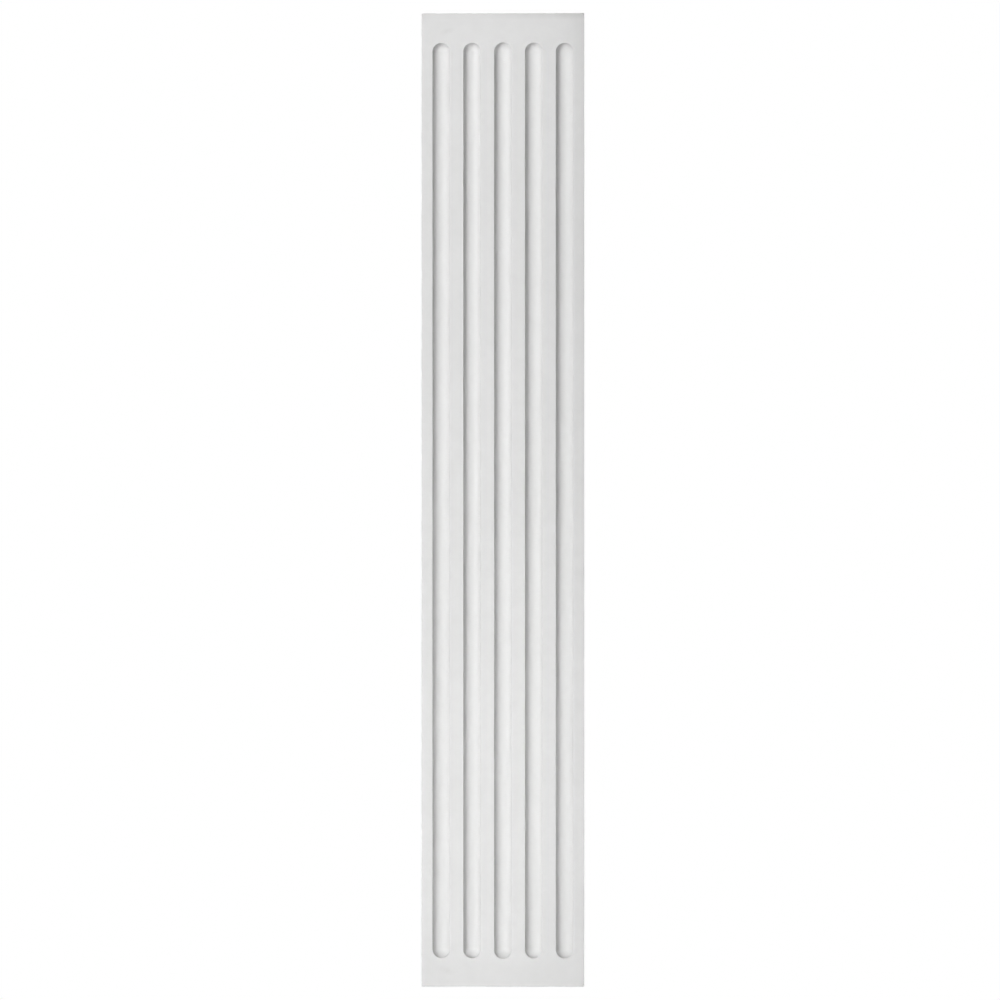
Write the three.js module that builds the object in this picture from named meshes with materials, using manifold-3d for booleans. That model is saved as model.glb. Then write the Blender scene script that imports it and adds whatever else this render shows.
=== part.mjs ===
// The shaft of a fluted pilaster: one flat panel of cast plaster, cut square at head and foot,
// with a row of stopped flutes down its face. It is fixed to a wall by its back.
//
// Frame, in millimetres: X runs across the panel, Z runs up it, and the fluted face looks along -Y.
// The origin is the centre of the flat back, where the wall touches it.
import * as THREE from "three";
import { mergeVertices } from "three/addons/utils/BufferGeometryUtils.js";
import Module from "manifold-3d";

// Driving dimensions of the panel
const PANEL_HEIGHT = 1200;
const PANEL_WIDTH = 201;
const PANEL_THICKNESS = 25;
const ARRIS_RADIUS = 1; // the soft edge all round the face

// Driving dimensions of the flutes
const FLUTE_COUNT = 5;
const FLUTE_PITCH = 38; // from centre to centre
const FLUTE_WIDTH = 21; // across the mouth
const FLUTE_DEPTH = 9.5;
const FLUTE_END_MARGIN = 36; // the plain band beyond the flutes, at head and at foot

// How finely the round stretches are faceted
const ARRIS_STEPS = 4;
const FLUTE_SIDES = 48; // around the whole cutter, of which a little under half cuts the panel
const FLUTE_END_STEPS = 10; // over a quarter turn at each rounded end

// The panel is poured this much too thick, and its back is then struck off flat.
const STRIKE_OFF = 6;

// A flute is a circular arc in section: its chord is the width and its rise is the depth.
const HALF_FLUTE = FLUTE_WIDTH / 2;
const CUTTER_RADIUS = (HALF_FLUTE ** 2 + FLUTE_DEPTH ** 2) / (2 * FLUTE_DEPTH);
const CUTTER_STANDOFF = CUTTER_RADIUS - FLUTE_DEPTH; // of the cutter's axis, in front of the face
const CUTTER_TRAVEL = PANEL_HEIGHT - 2 * (FLUTE_END_MARGIN + HALF_FLUTE);

const PLASTER = new THREE.MeshStandardMaterial({
  name: "white_plaster",
  color: 0xe6e5e2,
  roughness: 0.85,
  metalness: 0,
});

const wasm = await Module();
wasm.setup();

// Turns a closed three.js geometry into a solid that can be cut. Triangles that close up to a line
// at a pole are left out, once the vertices that they share are merged.
function toSolid(geometry) {
  geometry.deleteAttribute("normal");
  geometry.deleteAttribute("uv");
  const merged = mergeVertices(geometry, 1e-4);
  const corners = merged.index.array;
  const kept = [];
  for (let i = 0; i < corners.length; i += 3) {
    const [a, b, c] = corners.slice(i, i + 3);
    if (a !== b && b !== c && c !== a) kept.push(a, b, c);
  }
  return new wasm.Manifold(
    new wasm.Mesh({
      numProp: 3,
      vertProperties: merged.getAttribute("position").array,
      triVerts: new Uint32Array(kept),
    }),
  );
}

// Turns a solid back into a three.js geometry.
function toGeometry(solid) {
  const mesh = solid.getMesh();
  const geometry = new THREE.BufferGeometry();
  geometry.setAttribute("position", new THREE.BufferAttribute(mesh.vertProperties, 3));
  geometry.setIndex(new THREE.BufferAttribute(mesh.triVerts, 1));
  geometry.computeVertexNormals();
  return geometry;
}

// The rectangle that the panel fills, seen from the front.
function panelOutline() {
  const halfWidth = PANEL_WIDTH / 2;
  const halfHeight = PANEL_HEIGHT / 2;
  return new THREE.Shape([
    new THREE.Vector2(-halfWidth, -halfHeight),
    new THREE.Vector2(halfWidth, -halfHeight),
    new THREE.Vector2(halfWidth, halfHeight),
    new THREE.Vector2(-halfWidth, halfHeight),
  ]);
}

// The plain panel, with its face rounded over at the edges and its back struck off at y = 0.
function plainPanel() {
  const poured = new THREE.ExtrudeGeometry(panelOutline(), {
    depth: PANEL_THICKNESS - ARRIS_RADIUS + STRIKE_OFF,
    bevelEnabled: true,
    bevelThickness: ARRIS_RADIUS,
    bevelSize: ARRIS_RADIUS,
    bevelOffset: -ARRIS_RADIUS,
    bevelSegments: ARRIS_STEPS,
  });
  poured.translate(0, 0, -STRIKE_OFF);
  poured.rotateX(Math.PI / 2); // what was poured upwards now looks along -Y
  const waste = new THREE.BoxGeometry(2 * PANEL_WIDTH, 4 * STRIKE_OFF, 2 * PANEL_HEIGHT);
  waste.translate(0, 2 * STRIKE_OFF, 0);
  return toSolid(poured).subtract(toSolid(waste));
}

// A round-nosed cutter's whole path down one flute, at a distance across from the panel's middle.
function flutePath(across) {
  const path = new THREE.CapsuleGeometry(
    CUTTER_RADIUS,
    CUTTER_TRAVEL,
    FLUTE_END_STEPS,
    FLUTE_SIDES,
  );
  path.rotateX(Math.PI / 2);
  path.translate(across, -(PANEL_THICKNESS + CUTTER_STANDOFF), 0);
  return toSolid(path);
}

// The panel with all its flutes, as one casting.
function pilasterShaft() {
  let shaft = plainPanel();
  for (let i = 0; i < FLUTE_COUNT; i++) {
    const across = (i - (FLUTE_COUNT - 1) / 2) * FLUTE_PITCH;
    shaft = shaft.subtract(flutePath(across));
  }
  const mesh = new THREE.Mesh(toGeometry(shaft), PLASTER);
  mesh.name = "pilaster_shaft";
  return mesh;
}

const pilaster = new THREE.Group();
pilaster.add(pilasterShaft());

export default pilaster;
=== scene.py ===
"""Dresses the fluted pilaster shaft as one white plaster casting, in a plain studio.

Everything is in metres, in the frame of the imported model: X runs across the shaft, Z runs up it, the
fluted face looks along -Y and the flat back lies at y = 0.
"""

import logging
import math
from dataclasses import dataclass, field, replace
from enum import Enum

import bmesh
import bpy
import numpy as np
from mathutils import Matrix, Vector


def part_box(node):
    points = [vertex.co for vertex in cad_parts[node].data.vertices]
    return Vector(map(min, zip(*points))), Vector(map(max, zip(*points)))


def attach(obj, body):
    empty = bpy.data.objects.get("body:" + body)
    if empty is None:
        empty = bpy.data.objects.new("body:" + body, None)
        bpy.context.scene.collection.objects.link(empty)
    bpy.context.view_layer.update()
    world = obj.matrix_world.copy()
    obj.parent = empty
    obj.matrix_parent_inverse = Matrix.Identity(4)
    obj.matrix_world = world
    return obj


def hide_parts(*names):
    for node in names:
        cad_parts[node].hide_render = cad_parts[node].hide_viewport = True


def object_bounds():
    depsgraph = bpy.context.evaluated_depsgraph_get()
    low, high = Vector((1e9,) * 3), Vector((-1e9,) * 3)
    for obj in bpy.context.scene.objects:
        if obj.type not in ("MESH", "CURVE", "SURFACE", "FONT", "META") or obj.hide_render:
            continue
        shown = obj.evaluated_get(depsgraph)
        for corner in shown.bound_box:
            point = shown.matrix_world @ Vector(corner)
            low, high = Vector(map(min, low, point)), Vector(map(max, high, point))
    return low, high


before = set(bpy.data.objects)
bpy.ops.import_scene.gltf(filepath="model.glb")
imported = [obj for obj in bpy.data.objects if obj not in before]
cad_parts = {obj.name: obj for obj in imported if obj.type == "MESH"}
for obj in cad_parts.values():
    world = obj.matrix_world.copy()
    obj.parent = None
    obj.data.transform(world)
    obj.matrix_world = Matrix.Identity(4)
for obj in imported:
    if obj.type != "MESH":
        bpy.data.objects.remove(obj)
CAD_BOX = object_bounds()

Array = np.ndarray
Colour = tuple[float, float, float, float]
Socket = bpy.types.NodeSocket
Amount = Socket | float
Tint = Socket | Colour
Sockets = dict[str | int, Socket | float | tuple[float, ...]]

SHAFT_NODE = "pilaster_shaft"
SHAFT_BODY = "root"
HOLLOW = "hollow"  # the casting's attribute for how deep in a flute a point lies
MERGE_DISTANCE = 2e-6
QUARTER_TURN = np.array([[0.0, -1.0], [1.0, 0.0]])
WHITE: Colour = (1.0, 1.0, 1.0, 1.0)

log = logging.getLogger("pilaster")


class Finish(Enum):
    """The finishes of the casting, in the order of its material slots."""

    MOULDED = 0
    STRUCK = 1


class Axis(Enum):
    """The two ways along the face, by the names of their sockets."""

    ACROSS = "X"
    UP = "Z"


class Blend(Enum):
    """What a blend mixes: the node's data type, the numbers of its two inputs and of its output."""

    NUMBERS = ("FLOAT", 2, 3, 0)
    COLOURS = ("RGBA", 6, 7, 2)


@dataclass(frozen=True)
class Fade:
    """A smooth step: the two values that it runs between, and what it gives at each."""

    low: float
    high: float
    start: float = 0.0
    end: float = 1.0


@dataclass(frozen=True)
class Noise:
    """A fractal noise: its cells to the metre, its finer layers, and how strongly they show."""

    scale: float
    detail: float
    roughness: float = 0.55


@dataclass(frozen=True)
class Pinholes:
    """Tiny air holes, one to a cell: the cells to the metre, and the dip over a distance in cells."""

    scale: float
    dip: Fade = Fade(low=0.03, high=0.10, start=-0.8, end=0.0)


@dataclass(frozen=True)
class Relief:
    """How a height shows as bump: its strength, and the real height of one unit."""

    strength: float
    distance: float


@dataclass
class Sheet:
    """A node tree under construction, with the few steps that the finishes share."""

    owner: bpy.types.Material | bpy.types.World
    tree: bpy.types.NodeTree

    @classmethod
    def new(cls, name: str) -> "Sheet":
        """Starts an empty material.

        Args:
            name: The material's name.

        Returns:
            The material's sheet.
        """
        material = bpy.data.materials.new(name)
        material.use_nodes = True
        material.node_tree.nodes.clear()
        return cls(material, material.node_tree)

    def add(self, kind: str, sockets: Sockets | None = None, **settings: str) -> bpy.types.Node:
        """Adds one node.

        Args:
            kind: The node's type.
            sockets: Values or sockets, by the names or numbers of the inputs that take them.
            settings: The node's own properties.

        Returns:
            The new node.
        """
        node = self.tree.nodes.new(kind)
        for key, value in settings.items():
            setattr(node, key, value)
        for key, value in (sockets or {}).items():
            if isinstance(value, Socket):
                self.tree.links.new(value, node.inputs[key])
            else:
                node.inputs[key].default_value = value
        return node

    def place(self) -> Socket:
        """Gives the place on the casting."""
        return self.add("ShaderNodeTexCoord").outputs["Object"]

    def noise(self, place: Socket, noise: Noise) -> Socket:
        """Reads a fractal noise, which is about 0.5 on average.

        Args:
            place: The place to read it at.
            noise: The noise to read.

        Returns:
            The socket with its value.
        """
        sockets = {
            "Vector": place,
            "Scale": noise.scale,
            "Detail": noise.detail,
            "Roughness": noise.roughness,
        }
        return self.add("ShaderNodeTexNoise", sockets).outputs["Fac"]

    def fade(self, value: Socket, fade: Fade) -> Socket:
        """Runs a value through a smooth step.

        Args:
            value: The socket with the value.
            fade: The step.

        Returns:
            The socket with what the step gives.
        """
        sockets = {
            "Value": value,
            "From Min": fade.low,
            "From Max": fade.high,
            "To Min": fade.start,
            "To Max": fade.end,
        }
        node = self.add("ShaderNodeMapRange", sockets, interpolation_type="SMOOTHSTEP")
        return node.outputs["Result"]

    def multiply(self, first: Amount, second: Amount) -> Socket:
        """Multiplies two amounts."""
        return self.add("ShaderNodeMath", {0: first, 1: second}, operation="MULTIPLY").outputs[0]

    def add_up(self, first: Amount, second: Amount) -> Socket:
        """Adds two amounts."""
        return self.add("ShaderNodeMath", {0: first, 1: second}, operation="ADD").outputs[0]

    def mix(
        self, share: Socket, first: Tint | float, second: Tint | float, blend: Blend = Blend.COLOURS
    ) -> Socket:
        """Blends two colours or numbers.

        Args:
            share: The share of the second.
            first: The colour or number where the share is 0.
            second: The colour or number where the share is 1.
            blend: What is blended.

        Returns:
            The socket with the blend.
        """
        kind, start, end, result = blend.value
        node = self.add("ShaderNodeMix", {0: share, start: first, end: second}, data_type=kind)
        return node.outputs[result]

    def pinholes(self, place: Socket, holes: Pinholes) -> Socket:
        """Scatters air holes.

        Args:
            place: The place on the casting.
            holes: The holes.

        Returns:
            The socket with a height that dips at each hole.
        """
        sockets = {"Vector": place, "Scale": holes.scale}
        away = self.add("ShaderNodeTexVoronoi", sockets).outputs["Distance"]
        return self.fade(away, holes.dip)

    def bump(self, height: Socket, relief: Relief) -> Socket:
        """Turns a height into a shading normal."""
        sockets = {"Height": height, "Strength": relief.strength, "Distance": relief.distance}
        return self.add("ShaderNodeBump", sockets).outputs["Normal"]

    def shader(self, colour: Socket, roughness: Socket, normal: Socket, specular: float) -> None:
        """Ends the sheet in a plaster shader.

        Args:
            colour: The socket with the base colour.
            roughness: The socket with the roughness.
            normal: The socket with the shading normal.
            specular: The strength of the gloss.
        """
        sockets = {
            "Base Color": colour,
            "Roughness": roughness,
            "Normal": normal,
            "Metallic": 0.0,
            "Specular IOR Level": specular,
        }
        plaster = self.add("ShaderNodeBsdfPrincipled", sockets)
        self.add("ShaderNodeOutputMaterial", {"Surface": plaster.outputs["BSDF"]})


@dataclass(frozen=True)
class Scuff:
    """A faint grey smear on the face, soft at its edges and broken up by the grain."""

    across: float
    up: float
    length: float
    breadth: float
    lean_deg: float
    weight: float
    colour: Colour = (0.62, 0.61, 0.60, 1.0)
    reach_deep: float = 0.02
    grain: Noise = Noise(scale=300.0, detail=4.0)
    broken: Fade = Fade(low=0.35, high=0.60, start=0.1)

    def mask(self, sheet: Sheet, place: Socket) -> Socket:
        """Draws the smear as a ball of shade squeezed to its length and breadth.

        Args:
            sheet: The material that takes the smear.
            place: The socket with the place on the casting.

        Returns:
            The socket with the smear's share of the colour.
        """
        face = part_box(SHAFT_NODE)[0].y
        squeezed = sheet.add(
            "ShaderNodeMapping",
            {
                "Vector": place,
                "Location": (self.across, face, self.up),
                "Rotation": (0.0, -math.radians(self.lean_deg), 0.0),
                "Scale": (self.length / 2.0, self.reach_deep, self.breadth / 2.0),
            },
            vector_type="TEXTURE",
        ).outputs["Vector"]
        ball = sheet.add("ShaderNodeTexGradient", {"Vector": squeezed}, gradient_type="SPHERICAL")
        grainy = sheet.fade(sheet.noise(place, self.grain), replace(self.broken, end=self.weight))
        return sheet.multiply(ball.outputs["Fac"], grainy)


@dataclass(frozen=True)
class EdgeDarkening:
    """A soft grey band that darkens the face along one edge, unequal at its two ends."""

    across: Axis
    edge: float
    breadth: float
    along: Axis
    half_run: float
    shares: tuple[float, float]
    colour: Colour = (0.700, 0.698, 0.692, 1.0)
    grain: Noise = Noise(scale=45.0, detail=4.0)
    broken: Fade = Fade(low=0.3, high=0.7, start=0.7, end=1.3)

    def mask(self, sheet: Sheet, place: Socket) -> Socket:
        """Fades the band in towards its edge, and from its first share to its second along it.

        Args:
            sheet: The material that takes the band.
            place: The socket with the place on the casting.

        Returns:
            The socket with the band's share of the colour.
        """
        parts = sheet.add("ShaderNodeSeparateXYZ", {"Vector": place}).outputs
        near = sheet.fade(parts[self.across.value], Fade(self.edge - self.breadth, self.edge))
        heavy = sheet.fade(parts[self.along.value], Fade(-self.half_run, self.half_run, *self.shares))
        grainy = sheet.fade(sheet.noise(place, self.grain), self.broken)
        return sheet.multiply(sheet.multiply(near, heavy), grainy)


HEAD_SCUFF = Scuff(across=-0.0690, up=0.5775, length=0.022, breadth=0.009, lean_deg=20.0, weight=0.20)
FOOT_SCUFF = replace(HEAD_SCUFF, up=-0.5805, lean_deg=-20.0, weight=0.18)
# Darker along the top edge of the face, heavier towards the right
HEAD_DARKENING = EdgeDarkening(
    across=Axis.UP,
    edge=0.5975,
    breadth=0.0065,
    along=Axis.ACROSS,
    half_run=0.1,
    shares=(0.14, 0.50),
)
# Painted shade: the face darkens towards its right edge, more towards the top, where the light falls
# off
RIGHT_EDGE_SHADE = EdgeDarkening(
    across=Axis.ACROSS,
    edge=0.1000,
    breadth=0.016,
    along=Axis.UP,
    half_run=0.6,
    shares=(0.10, 0.22),
)


@dataclass(frozen=True)
class MouldedPlaster:
    """The face as it left the mould: matt off-white, faintly clouded, with a fine grain."""

    name: str = "moulded_plaster"
    light: Colour = (0.8122, 0.8113, 0.8100, 1.0)
    dull: Colour = (0.8010, 0.8000, 0.7985, 1.0)
    # Tints the random mottle and specks, and is also the painted shade deep in the flutes
    dust_and_flute_shade: Colour = (0.7640, 0.7620, 0.7595, 1.0)
    # The scuffs, a darker band along the top edge, and painted shade along the right edge
    scuffs_and_bands: tuple[Scuff | EdgeDarkening, ...] = (HEAD_SCUFF, FOOT_SCUFF, HEAD_DARKENING, RIGHT_EDGE_SHADE)
    cloud: Noise = Noise(scale=9.0, detail=5.0)
    mottle: Noise = Noise(scale=70.0, detail=4.0)
    speck: Noise = Noise(scale=330.0, detail=3.0)
    grain: Noise = Noise(scale=850.0, detail=2.0)
    holes: Pinholes = Pinholes(scale=120.0)
    clouding: Fade = Fade(low=0.38, high=0.62)
    mottling: Fade = Fade(low=0.35, high=0.70, end=0.22)
    # How strongly the painted shade darkens the bottoms of the flutes
    flute_shading: Fade = Fade(low=0.30, high=0.80, start=0.46, end=0.54)
    specking: Fade = Fade(low=0.55, high=0.80, end=0.19)
    roughness: Fade = Fade(low=0.30, high=0.70, start=0.78, end=0.92)
    specular: float = 0.25
    grain_height: float = 0.5
    relief: Relief = Relief(strength=0.35, distance=0.0002)

    def material(self) -> bpy.types.Material:
        """Makes the material: clouds and mottle, painted shade deeper in the flutes, specks, scuffs, a
        darker band along the top edge and painted shade along the right edge.

        Returns:
            The finished material.
        """
        sheet = Sheet.new(self.name)
        place = sheet.place()
        cloud = sheet.noise(place, self.cloud)
        speck = sheet.noise(place, self.speck)
        grain = sheet.noise(place, self.grain)
        mottle = sheet.noise(place, self.mottle)
        colour = sheet.mix(sheet.fade(cloud, self.clouding), self.light, self.dull)
        colour = sheet.mix(sheet.fade(mottle, self.mottling), colour, self.dust_and_flute_shade)
        hollow = sheet.add("ShaderNodeAttribute", attribute_name=HOLLOW).outputs["Fac"]
        # Painted shade: the colour darkens the deeper a point lies in a flute
        flute_shade = sheet.multiply(hollow, sheet.fade(cloud, self.flute_shading))
        colour = sheet.mix(flute_shade, colour, self.dust_and_flute_shade)
        colour = sheet.mix(sheet.fade(speck, self.specking), colour, self.dust_and_flute_shade)
        # Lays on the scuffs, the top band and the painted shade along the right edge
        for overlay in self.scuffs_and_bands:
            colour = sheet.mix(overlay.mask(sheet, place), colour, overlay.colour)
        pits = sheet.pinholes(place, self.holes)
        height = sheet.add_up(sheet.multiply(grain, self.grain_height), pits)
        sheet.shader(
            colour=colour,
            roughness=sheet.fade(speck, self.roughness),
            normal=sheet.bump(height, self.relief),
            specular=self.specular,
        )
        return sheet.owner


@dataclass(frozen=True)
class StruckPlaster:
    """The back, struck off with a straightedge: duller, rougher, dragged along its length."""

    name: str = "struck_plaster"
    light: Colour = (0.775, 0.768, 0.752, 1.0)
    dull: Colour = (0.715, 0.706, 0.688, 1.0)
    score: Colour = (0.600, 0.590, 0.570, 1.0)
    cloud: Noise = Noise(scale=14.0, detail=6.0)
    drag: Noise = Noise(scale=110.0, detail=4.0)
    drag_stretch: float = 0.03
    grain: Noise = Noise(scale=500.0, detail=3.0)
    holes: Pinholes = Pinholes(scale=70.0)
    clouding: Fade = Fade(low=0.35, high=0.65)
    scoring: Fade = Fade(low=0.52, high=0.72, end=0.40)
    roughness: Fade = Fade(low=0.30, high=0.70, start=0.86, end=0.97)
    specular: float = 0.25
    hole_shade: float = 0.5
    grain_height: float = 0.6
    relief: Relief = Relief(strength=0.5, distance=0.0005)

    def material(self) -> bpy.types.Material:
        """Makes the material: clouds, scores dragged out along Z, and holes darker than the rest.

        Returns:
            The finished material.
        """
        sheet = Sheet.new(self.name)
        place = sheet.place()
        stretched = sheet.add(
            "ShaderNodeMapping", {"Vector": place, "Scale": (1.0, 1.0, self.drag_stretch)}
        ).outputs["Vector"]
        cloud = sheet.noise(place, self.cloud)
        drag = sheet.noise(stretched, self.drag)
        grain = sheet.noise(place, self.grain)
        colour = sheet.mix(sheet.fade(cloud, self.clouding), self.light, self.dull)
        colour = sheet.mix(sheet.fade(drag, self.scoring), colour, self.score)
        pits = sheet.pinholes(place, self.holes)
        colour = sheet.mix(sheet.multiply(pits, -self.hole_shade), colour, self.score)
        height = sheet.add_up(sheet.add_up(drag, pits), sheet.multiply(grain, self.grain_height))
        sheet.shader(
            colour=colour,
            roughness=sheet.fade(drag, self.roughness),
            normal=sheet.bump(height, self.relief),
            specular=self.specular,
        )
        return sheet.owner


@dataclass
class Patch:
    """A surface as a grid of points: one row for each step of its first parameter."""

    points: Array
    finish: Finish = Finish.MOULDED
    closed: bool = False

    def quads(self) -> Array:
        """Numbers the corners of the grid's quads.

        Returns:
            Rows of four indices into the points in reading order. A closed grid joins its last
            column to its first.
        """
        rows, columns = self.points.shape[:2]
        index = np.arange(rows * columns).reshape(rows, columns)
        if self.closed:
            index = np.concatenate([index, index[:, :1]], axis=1)
        corners = [index[:-1, :-1], index[:-1, 1:], index[1:, 1:], index[1:, :-1]]
        return np.stack(corners, axis=-1).reshape(-1, 4)


@dataclass(frozen=True)
class Waves:
    """A smooth random field: a sum of plane waves whose lengths and directions are drawn once."""

    seed: int
    shortest: float
    longest: float
    height: float
    count: int = 36

    def at(self, across: Array, up: Array) -> Array:
        """Reads the field at places on the face.

        Each wave is a cosine of the distance along its own direction. The sum is scaled so that
        its typical height is the field's height.

        Args:
            across: The places' distances along X.
            up: The places' distances along Z.

        Returns:
            The height at each place.
        """
        draw = np.random.default_rng(self.seed)
        spread = draw.uniform(math.log(self.shortest), math.log(self.longest), self.count)
        turns = 2.0 * math.pi / np.exp(spread)
        heading = draw.uniform(0.0, 2.0 * math.pi, self.count)
        phase = draw.uniform(0.0, 2.0 * math.pi, self.count)
        along = np.multiply.outer(across, turns * np.cos(heading))
        along += np.multiply.outer(up, turns * np.sin(heading))
        return self.height * np.cos(along + phase).sum(axis=-1) / math.sqrt(self.count / 2.0)


@dataclass(frozen=True)
class Flute:
    """One stopped flute: a groove of circular section with a rounded arris and round ends."""

    width: float = 0.021
    depth: float = 0.0095
    end_margin: float = 0.036
    arris_radius: float = 0.0008
    groove_steps: int = 14
    arris_steps: int = 4

    @property
    def cutter_radius(self) -> float:
        """The groove's radius: its chord is the width and its rise is the depth."""
        return ((self.width / 2.0) ** 2 + self.depth**2) / (2.0 * self.depth)

    def section(self) -> tuple[Array, Array]:
        """Works out half of the section, from the middle line to the face.

        The groove is an arc about a centre in front of the face. The arris is a small arc that
        touches the groove's circle from outside and the face from behind, so its centre lies as
        deep as its radius, at the sum of both radii from the groove's centre.

        Returns:
            The distances from the middle line, and the depths below the face.
        """
        groove, arris = self.cutter_radius, self.arris_radius
        standoff = groove - self.depth
        arris_out = math.sqrt((groove + arris) ** 2 - (standoff + arris) ** 2)
        meeting = math.atan2(arris_out, standoff + arris)
        swing = np.linspace(0.0, meeting, self.groove_steps + 1)
        roll = np.linspace(meeting, 0.0, self.arris_steps + 1)[1:]
        out = np.concatenate([groove * np.sin(swing), arris_out - arris * np.sin(roll)])
        down = np.concatenate([groove * np.cos(swing) - standoff, arris - arris * np.cos(roll)])
        return out, down


@dataclass
class Shaft:
    """The whole casting: a slab with soft edges, a row of flutes down its face and a struck back.

    The face is a row of cells, one round each flute, inside a plain skirt that turns over the edge.
    A slip is how far above its drawn place the end of a flute lies.
    """

    flute: Flute = Flute()
    flute_pitch: float = 0.038
    head_slips: tuple[float, ...] = (-0.0008, -0.0007, -0.0005, -0.0007, -0.0010)
    foot_slips: tuple[float, ...] = (-0.0005, -0.0006, -0.0014, -0.0006, -0.0008)
    shrinkage: float = 0.0003
    edge_radius: float = 0.0006
    back_edge_radius: float = 0.0008
    corner_radius: float = 0.0010

    # How finely the surfaces are stepped, and where the steps lie across a flat, rim or side
    up_step: float = 0.004
    end_side_steps: int = 9
    end_cap_steps: int = 7
    corner_steps: int = 4
    edge_steps: int = 6
    flat_places: tuple[float, ...] = (0.05, 0.45, 1.0)
    rim_place: float = 0.85
    side_places: tuple[float, ...] = (0.04, 0.25, 0.5, 0.75, 0.96)
    struck_rows: int = 3

    # How the casting strays from its drawn shape, and how close to a border that is felt
    swell: Waves = Waves(seed=11, shortest=0.08, longest=0.60, height=0.00008)
    ripple: Waves = Waves(seed=12, shortest=0.015, longest=0.08, height=0.000007)
    wander: Waves = Waves(seed=13, shortest=0.10, longest=0.60, height=0.00006)
    drag: Waves = Waves(seed=14, shortest=0.02, longest=0.20, height=0.00006)
    drag_narrowing: float = 6.0
    side_power: int = 24
    end_power: int = 200
    back_power: int = 8

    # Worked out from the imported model's node
    half_width: float = field(init=False)
    half_height: float = field(init=False)
    thickness: float = field(init=False)
    flute_end: float = field(init=False)
    skirt: float = field(init=False)
    rim: float = field(init=False)
    field_half_height: float = field(init=False)
    cap_reach: float = field(init=False)
    cell_half: float = field(init=False)
    corner_turn: float = field(init=False)

    def __post_init__(self) -> None:
        """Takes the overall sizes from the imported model's node."""
        low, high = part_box(SHAFT_NODE)
        self.half_width = (high.x - low.x) / 2.0 - self.shrinkage
        self.half_height = (high.z - low.z) / 2.0
        self.thickness = high.y - low.y
        self.flute_end = self.half_height - self.flute.end_margin - self.flute.width / 2.0
        self.skirt = self.half_width - len(self.head_slips) * self.flute_pitch / 2.0
        self.rim = self.skirt - self.edge_radius
        self.field_half_height = self.half_height - self.skirt
        self.cap_reach = self.field_half_height - self.flute_end
        self.cell_half = self.flute_pitch / 2.0
        self.corner_turn = math.atan2(self.cap_reach, self.cell_half)

    def flute_centres(self) -> Array:
        """Gives the flutes' distances across from the shaft's middle."""
        count = len(self.head_slips)
        return (np.arange(count) - (count - 1) / 2.0) * self.flute_pitch

    def side_heights(self) -> Array:
        """Steps the straight length of a flute, from its lower to its upper end."""
        steps = round(2.0 * self.flute_end / self.up_step)
        return np.linspace(-self.flute_end, self.flute_end, steps + 1)

    def end_turns(self) -> Array:
        """Steps the half turn round a flute's head, with a step at each corner of its cell.

        Returns:
            The angles, from the right side over the top to the left.
        """
        turn = self.corner_turn
        side = np.linspace(0.0, turn, self.end_side_steps + 1)
        cap = np.linspace(turn, math.pi - turn, self.end_cap_steps + 1)
        return np.concatenate([side[:-1], cap[:-1], math.pi - side[::-1]])

    def flute_cell(self, centre: float, head_slip: float, foot_slip: float) -> Patch:
        """Makes one flute with the flat of its cell.

        The first parameter runs out from the flute's middle line, down its section and over the
        arris, then across the flat to the cell's border. The second runs once round the flute: up
        its right side, round its head, down its left side and round its foot. A point lies at its
        distance out from the middle line, in the direction of the second parameter.

        Args:
            centre: The flute's distance across from the shaft's middle.
            head_slip: How far above its drawn place the flute's head lies.
            foot_slip: How far above its drawn place the flute's foot lies.

        Returns:
            The cell's surface, closed round the flute.
        """
        heights = self.side_heights()
        turns = self.end_turns()
        straight = np.zeros(len(heights) - 1)
        stop = np.full(len(turns) - 1, self.flute_end)
        foot = np.concatenate([heights[:-1], stop, heights[:0:-1], -stop])
        turn = np.concatenate([straight, turns[:-1], straight + math.pi, math.pi + turns[:-1]])
        away = np.stack([np.cos(turn), np.sin(turn)])
        border = 1.0 / np.maximum(abs(away[0]) / self.cell_half, abs(away[1]) / self.cap_reach)
        out, down = self.flute.section()
        share = np.array(self.flat_places)[:, None]
        flat = out[-1] + (border - out[-1]) * share
        distance = np.concatenate([np.repeat(out[:, None], len(turn), axis=1), flat])
        depth = np.concatenate([down, np.zeros(len(share))])[:, None]
        points = np.empty((*distance.shape, 3))
        points[..., 0] = centre + distance * away[0]
        points[..., 1] = depth - self.thickness
        points[..., 2] = foot + distance * away[1]
        rise = np.clip(foot / self.flute_end, -1.0, 1.0)
        slip = (head_slip * (1.0 + rise) + foot_slip * (1.0 - rise)) / 2.0
        points[..., 2] += slip * np.clip((border - distance) / (border - out[-1]), 0.0, 1.0)
        return Patch(points, closed=True)

    def border_steps(self) -> tuple[Array, Array]:
        """Finds where the cells' grids meet the border of the fluted field.

        A direction meets a cell's side at a height of its tangent, and its cap at its cotangent.

        Returns:
            The steps across the head or foot, and the steps up a side.
        """
        side = self.cell_half * np.tan(np.linspace(0.0, self.corner_turn, self.end_side_steps + 1))
        upper = self.flute_end + side[1:]
        up = np.concatenate([-upper[::-1], self.side_heights(), upper])
        cap = np.linspace(math.pi - self.corner_turn, self.corner_turn, self.end_cap_steps + 1)
        cell = self.cap_reach / np.tan(cap)
        starts = [centre + cell[:-1] for centre in self.flute_centres()]
        across = np.concatenate([*starts, [self.flute_centres()[-1] + self.cell_half]])
        return across, up

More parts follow.
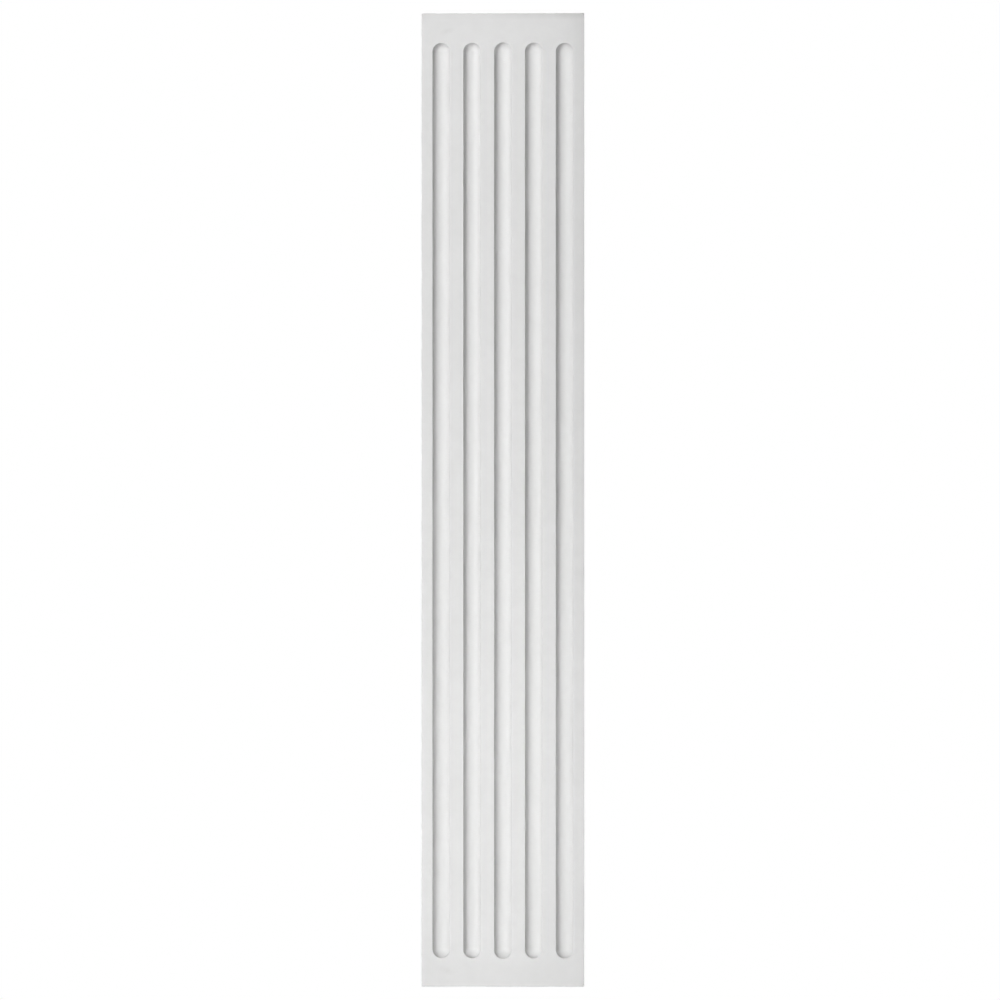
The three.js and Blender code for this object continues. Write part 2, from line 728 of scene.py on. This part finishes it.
    def edge_profile(self) -> tuple[Array, Array]:
        """Draws the slab's edge from the face to the back.

        It runs out over a flat rim, round a quarter circle to the side, straight back along the
        side, round another quarter circle and in again along the back.

        Returns:
            The distances out from the fluted field, and the places along Y.
        """
        front, back, full = self.edge_radius, self.back_edge_radius, self.skirt
        swing = np.linspace(0.0, math.pi / 2.0, self.edge_steps + 1)
        roll = np.linspace(0.0, math.pi / 2.0, self.edge_steps // 2 + 1)
        side = np.array(self.side_places)
        inner = self.rim_place * self.rim
        start, end = front - self.thickness, -back
        out = [[0.0, inner], self.rim + front * np.sin(swing), np.full(len(side), full)]
        out += [full - back + back * np.cos(roll), [inner, 0.0]]
        deep = [np.full(2, -self.thickness), front - front * np.cos(swing) - self.thickness]
        deep += [start + (end - start) * side, back * np.sin(roll) - back, np.zeros(2)]
        return np.concatenate(out), np.concatenate(deep)

    def edge_path(self) -> tuple[Array, Array]:
        """Walks round the border of the fluted field.

        Along a side the way out is square to it. At a corner it swings from one side to the next,
        so that the slab's outer corner is a small arc.

        Returns:
            The places on the border, and the way out at each for one unit of the profile.
        """
        across, up = self.border_steps()
        trim = self.corner_radius / self.skirt
        swing = np.linspace(0.0, math.pi / 2.0, self.corner_steps + 1)
        lean = 1.0 - trim + trim * np.stack([np.cos(swing), np.sin(swing)], axis=1)
        places, ways = [], []
        for quarter in range(4):
            turned = np.linalg.matrix_power(QUARTER_TURN, quarter)
            along = (up, across)[quarter % 2]
            reach = (across[-1], up[-1])[quarter % 2]
            side = np.stack([np.full(len(along), reach), along], axis=1)
            corner = np.repeat(side[-1:], len(lean), axis=0)
            square = np.repeat([[1.0, 0.0]], len(along), axis=0)
            places += [side @ turned.T, corner @ turned.T]
            ways += [square @ turned.T, lean @ turned.T]
        return np.concatenate(places), np.concatenate(ways)

    def edge(self) -> list[Patch]:
        """Carries the edge's profile round the fluted field.

        The last rows of the profile lie on the back and are struck off with it.

        Returns:
            The moulded rim and sides, and the struck rim of the back, which starts on their last row.
        """
        out, deep = self.edge_profile()
        places, ways = self.edge_path()
        flat = places + out[:, None, None] * ways
        points = np.empty((*flat.shape[:2], 3))
        points[..., 0] = flat[..., 0]
        points[..., 1] = deep[:, None]
        points[..., 2] = flat[..., 1]
        struck = Patch(points[-self.struck_rows :], finish=Finish.STRUCK, closed=True)
        return [Patch(points[: 1 - self.struck_rows], closed=True), struck]

    def back(self) -> Patch:
        """Lays the back as a flat grid over the same steps as the face's border.

        Returns:
            The back's surface.
        """
        across, up = self.border_steps()
        points = np.zeros((len(up), len(across), 3))
        points[..., 0] = across
        points[..., 2] = up[:, None]
        return Patch(points, finish=Finish.STRUCK)

    def unevenness(self, points: Array) -> Array:
        """Works out how far the casting strays from its drawn shape.

        The face sinks by the size of the swell, and the ripple shifts it sideways. The outer edges
        wander where they are, by a high power of the distance from the middle. The back is dragged
        a little hollow.

        Args:
            points: The drawn points.

        Returns:
            The shift of each point.
        """
        across, deep, up = points.T
        front = np.clip(-deep / self.thickness, 0.0, 1.0)
        side = np.clip(abs(across) / self.half_width, 0.0, 1.0) ** self.side_power
        end = np.clip(abs(up) / self.half_height, 0.0, 1.0) ** self.end_power
        hollow = abs(self.drag.at(across * self.drag_narrowing, up))
        shift = np.zeros_like(points)
        shift[:, 0] = front * self.ripple.at(across, up) + side * self.wander.at(across, up)
        shift[:, 1] = front * abs(self.swell.at(across, up))
        shift[:, 1] -= (1.0 - front) ** self.back_power * hollow
        shift[:, 2] = end * self.wander.at(up, across)
        return shift

    def build(self) -> bpy.types.Object:
        """Joins the surfaces into one closed mesh.

        Returns:
            The casting, at the origin, with its place in its mesh.
        """
        places = zip(self.flute_centres(), self.head_slips, self.foot_slips)
        patches = [self.flute_cell(*place) for place in places]
        patches += [*self.edge(), self.back()]
        sizes = [patch.points.shape[0] * patch.points.shape[1] for patch in patches]
        starts = np.cumsum([0, *sizes[:-1]])
        points = np.concatenate([patch.points.reshape(-1, 3) for patch in patches])
        quads = np.concatenate([patch.quads() + start for patch, start in zip(patches, starts)])
        finishes = [np.full(len(patch.quads()), patch.finish.value) for patch in patches]
        mesh = bpy.data.meshes.new("pilaster_casting")
        mesh.from_pydata((points + self.unevenness(points)).tolist(), [], quads.tolist())
        mesh.polygons.foreach_set("material_index", np.concatenate(finishes).astype(np.int32))
        self.close(mesh)
        mesh.polygons.foreach_set("use_smooth", np.ones(len(mesh.polygons), dtype=bool))
        self.mark_hollows(mesh)
        casting = bpy.data.objects.new("pilaster_casting", mesh)
        bpy.context.scene.collection.objects.link(casting)
        return casting

    def close(self, mesh: bpy.types.Mesh) -> None:
        """Merges the points that the surfaces share, and turns every face outwards.

        Args:
            mesh: The casting's mesh.
        """
        work = bmesh.new()
        work.from_mesh(mesh)
        bmesh.ops.remove_doubles(work, verts=work.verts, dist=MERGE_DISTANCE)
        bmesh.ops.recalc_face_normals(work, faces=work.faces)
        work.to_mesh(mesh)
        work.free()

    def mark_hollows(self, mesh: bpy.types.Mesh) -> None:
        """Stores how deep in a flute each point lies, from 0 at the face to 1 at the bottom.

        Args:
            mesh: The casting's mesh.
        """
        flat = np.empty(len(mesh.vertices) * 3)
        mesh.vertices.foreach_get("co", flat)
        across, deep, up = flat.reshape(-1, 3).T
        inside = (abs(across) < self.half_width - self.skirt) & (abs(up) < self.field_half_height)
        below = np.clip((deep + self.thickness) / self.flute.depth, 0.0, 1.0)
        hollow = np.where(inside & (deep < -self.thickness / 2.0), below, 0.0)
        layer = mesh.attributes.new(HOLLOW, "FLOAT", "POINT")
        layer.data.foreach_set("value", hollow.astype(np.float32))

    def dress(self, casting: bpy.types.Object) -> None:
        """Gives the casting its finishes, and sets it in the frame in place of the plain solid.

        Args:
            casting: The casting.
        """
        casting.data.materials.append(MouldedPlaster().material())
        casting.data.materials.append(StruckPlaster().material())
        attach(casting, SHAFT_BODY)
        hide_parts(SHAFT_NODE)


@dataclass(frozen=True)
class SoftBox:
    """A rectangle of soft light. A grid over it keeps its beam narrow."""

    name: str
    watts: float
    turn_deg: float
    lift_deg: float
    distance: float
    width: float
    height: float
    spread_deg: float
    aim: tuple[float, float, float]

    def place(self) -> bpy.types.Object:
        """Stands the light, turned and lifted round its aim, so that it looks at it.

        Returns:
            The light.
        """
        lamp = bpy.data.lights.new(self.name, "AREA")
        lamp.energy = self.watts
        lamp.shape = "RECTANGLE"
        lamp.size = self.width
        lamp.size_y = self.height
        lamp.spread = math.radians(self.spread_deg)
        turn, lift = math.radians(self.turn_deg), math.radians(self.lift_deg)
        level = math.cos(lift)
        back = Vector((math.sin(turn) * level, -math.cos(turn) * level, math.sin(lift)))
        holder = bpy.data.objects.new(self.name, lamp)
        holder.location = Vector(self.aim) + self.distance * back
        holder.rotation_mode = "QUATERNION"
        holder.rotation_quaternion = (-back).to_track_quat("-Z", "Y")
        holder.visible_camera = False
        bpy.context.scene.collection.objects.link(holder)
        return holder


NEAR_STRIP = SoftBox(
    name="near_strip",
    watts=1.78,
    turn_deg=-28.0,
    lift_deg=9.0,
    distance=2.0,
    width=0.08,
    height=2.0,
    spread_deg=30.0,
    aim=(0.035, -0.025, 0.0),
)
FAR_STRIP = replace(NEAR_STRIP, name="far_strip", watts=0.77, aim=(-0.24, -0.025, 0.0))
LOW_LEFT = SoftBox(
    name="low_left",
    watts=0.07,
    turn_deg=-60.0,
    lift_deg=0.0,
    distance=1.3,
    width=0.3,
    height=0.3,
    spread_deg=58.0,
    aim=(0.0, -0.025, -0.40),
)
LOW_RIGHT = replace(LOW_LEFT, name="low_right", watts=0.155, turn_deg=40.0)


@dataclass(frozen=True)
class Studio:
    """A white cove that sweeps up all round the shaft, a softly lit room and four soft boxes."""

    lights: tuple[SoftBox, ...] = (NEAR_STRIP, FAR_STRIP, LOW_LEFT, LOW_RIGHT)
    from_above: float = 0.23
    from_below: float = 0.595
    from_behind: float = 1.0
    rear_fade: Fade = Fade(low=-0.2, high=0.3)
    tone_gamma: float = 0.7
    cove_glow: float = 1.0
    cove_gap: float = 0.0005
    floor_radius: float = 7.0
    sweep_radius: float = 2.0
    wall_height: float = 4.0
    sweep_steps: int = 16
    spokes: int = 96

    def cove(self) -> bpy.types.Object:
        """Turns the cove's profile about Z: a flat floor, a quarter circle and a wall.

        The camera sees it, but it neither lights nor shades the shaft.

        Returns:
            The cove.
        """
        swing = np.linspace(0.0, math.pi / 2.0, self.sweep_steps + 1)
        far = self.floor_radius + self.sweep_radius
        out = np.concatenate([[0.0], self.floor_radius + self.sweep_radius * np.sin(swing), [far]])
        rise = np.concatenate([[0.0], self.sweep_radius * (1.0 - np.cos(swing)), [self.wall_height]])
        turn = np.linspace(0.0, 2.0 * math.pi, self.spokes, endpoint=False)
        level = CAD_BOX[0].z - self.cove_gap
        points = np.empty((len(out), self.spokes, 3))
        points[..., 0] = np.multiply.outer(out, np.cos(turn))
        points[..., 1] = np.multiply.outer(out, np.sin(turn))
        points[..., 2] = level + rise[:, None]
        mesh = bpy.data.meshes.new("studio_cove")
        quads = Patch(points, closed=True).quads()
        mesh.from_pydata(points.reshape(-1, 3).tolist(), [], quads.tolist())
        mesh.materials.append(self.cove_finish())
        cove = bpy.data.objects.new("studio_cove", mesh)
        cove.visible_diffuse = False
        cove.visible_glossy = False
        cove.visible_shadow = False
        bpy.context.scene.collection.objects.link(cove)
        return cove

    def cove_finish(self) -> bpy.types.Material:
        """Makes the cove plain white, with a glow of its own.

        Returns:
            The cove's finish.
        """
        sheet = Sheet.new("studio_cove")
        white = sheet.add("ShaderNodeEmission", {"Color": WHITE, "Strength": self.cove_glow})
        sheet.add("ShaderNodeOutputMaterial", {"Surface": white.outputs["Emission"]})
        return sheet.owner

    def room(self) -> bpy.types.World:
        """Lights the room: dim above, brighter below, and white behind the shaft.

        A way looked is a unit vector, so its Z runs from -1 straight down to 1 straight up.

        Returns:
            The world.
        """
        world = bpy.data.worlds.new("studio_room")
        world.use_nodes = True
        world.node_tree.nodes.clear()
        sheet = Sheet(world, world.node_tree)
        way = sheet.add("ShaderNodeTexCoord").outputs["Generated"]
        parts = sheet.add("ShaderNodeSeparateXYZ", {"Vector": way}).outputs
        front = sheet.fade(parts["Z"], Fade(-1.0, 1.0, self.from_below, self.from_above))
        behind = sheet.fade(parts["Y"], self.rear_fade)
        strength = sheet.mix(behind, front, self.from_behind, Blend.NUMBERS)
        glow = sheet.add("ShaderNodeBackground", {"Color": WHITE, "Strength": strength})
        sheet.add("ShaderNodeOutputWorld", {"Surface": glow.outputs["Background"]})
        bpy.context.scene.world = world
        return world

    def set_up(self) -> None:
        """Puts the cove, the room and the lights in place, with a plain view of the tones."""
        self.cove()
        self.room()
        for light in self.lights:
            light.place()
        view = bpy.context.scene.view_settings
        view.view_transform = "Standard"
        view.look = "None"
        view.gamma = self.tone_gamma


@dataclass(frozen=True)
class Viewpoint:
    """The camera: a long lens straight in front of the shaft, a touch to its right."""

    lens: float = 120.0
    sensor_width: float = 36.0
    image_pixels: float = 1000.0
    metres_per_pixel: float = 0.0012325
    turn_deg: float = 0.8
    aim: tuple[float, float, float] = (-0.0035, -0.025, 0.0)

    def place(self) -> bpy.types.Object:
        """Stands the camera where one pixel covers its share of the face.

        Returns:
            The camera.
        """
        camera = bpy.data.cameras.new("viewpoint")
        camera.lens = self.lens
        camera.sensor_width = self.sensor_width
        distance = self.lens / self.sensor_width * self.image_pixels * self.metres_per_pixel
        turn = math.radians(self.turn_deg)
        back = Vector((math.sin(turn), -math.cos(turn), 0.0))
        holder = bpy.data.objects.new("viewpoint", camera)
        holder.location = Vector(self.aim) + distance * back
        holder.rotation_mode = "QUATERNION"
        holder.rotation_quaternion = (-back).to_track_quat("-Z", "Y")
        bpy.context.scene.collection.objects.link(holder)
        bpy.context.scene.camera = holder
        return holder


def main() -> None:
    """Builds the shaft, the studio and the camera in order, and reports the casting's faces."""
    logging.basicConfig(level=logging.INFO, format="%(message)s")
    shaft = Shaft()
    casting = shaft.build()
    shaft.dress(casting)
    log.info("%s: %d faces", casting.name, len(casting.data.polygons))
    Studio().set_up()
    Viewpoint().place()
    bpy.context.view_layer.update()


if __name__ == "__main__":
    main()
